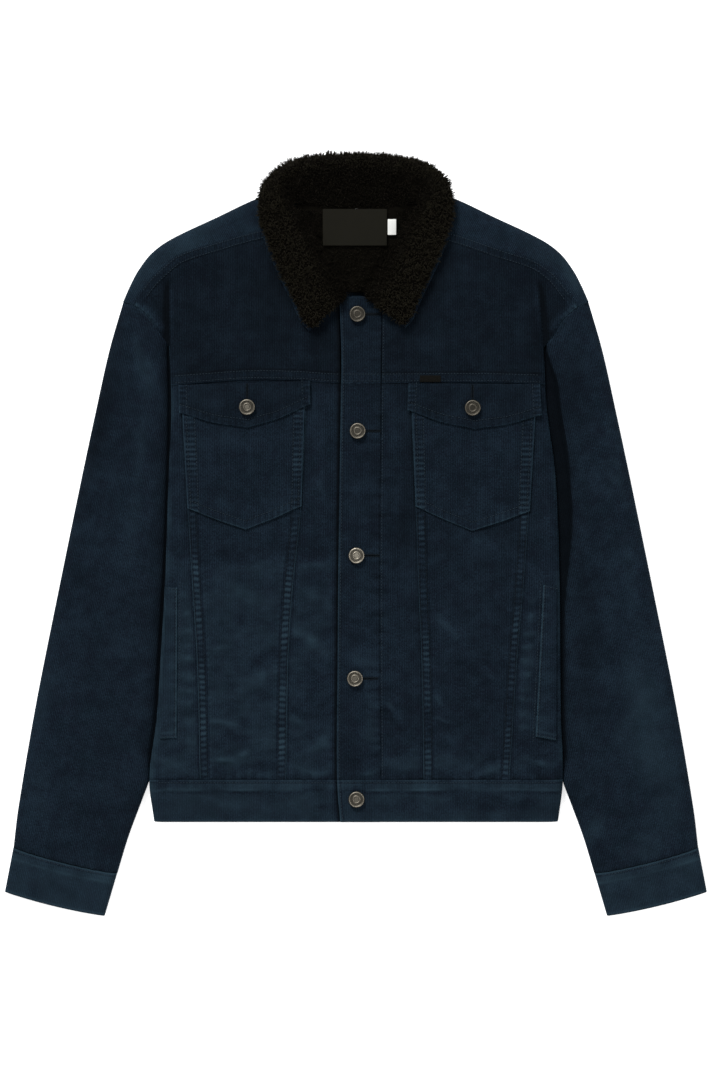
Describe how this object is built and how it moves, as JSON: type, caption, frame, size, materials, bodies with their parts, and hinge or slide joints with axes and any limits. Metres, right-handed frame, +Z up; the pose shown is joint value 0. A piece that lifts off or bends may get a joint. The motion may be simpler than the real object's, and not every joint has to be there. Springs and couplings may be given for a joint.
{
  "type": "sherpa lined corduroy jacket",
  "caption": "Corduroy trucker jacket with a pile collar and lining, buttoned up and laid flat on its back.",
  "frame": {"origin": "on the surface it lies on, under the middle of the jacket's box", "axes": "+X to the viewer's right across the front, +Y from the cuffs towards the collar, +Z up off the surface"},
  "size_m": [0.7604, 0.8256, 0.031],
  "materials": {
    "corduroy": "fine wale cotton corduroy, soft nap",
    "pile": "curly sherpa pile",
    "button_metal": "antique nickel plate",
    "satin": "woven satin label",
    "paper_label": "white woven tape"
  },
  "bodies": {
    "root": {"back_yoke": "corduroy", "back_panel": "corduroy", "waistband_back": "corduroy", "placket": "corduroy", "button_band": "corduroy", "under_collar": "corduroy", "front_yoke_left": "corduroy", "front_yoke_right": "corduroy", "centre_front_left": "corduroy", "centre_front_right": "corduroy", "middle_front_left": "corduroy", "middle_front_right": "corduroy", "side_front_left": "corduroy", "side_front_right": "corduroy", "waistband_front_left": "corduroy", "waistband_front_right": "corduroy", "sleeve_top_left": "corduroy", "sleeve_top_right": "corduroy", "sleeve_under_left": "corduroy", "sleeve_under_right": "corduroy", "cuff_left": "corduroy", "cuff_right": "corduroy", "chest_pocket_left": "corduroy", "chest_pocket_right": "corduroy", "flap_left": "corduroy", "flap_right": "corduroy", "welt_left": "corduroy", "welt_right": "corduroy", "collar_top": "pile", "neck_lining": "pile", "button_1": "button_metal", "button_2": "button_metal", "button_3": "button_metal", "button_4": "button_metal", "button_5": "button_metal", "flap_button_left": "button_metal", "flap_button_right": "button_metal", "neck_label": "satin", "tab": "satin", "size_label": "paper_label"}
  },
  "joints": []
}
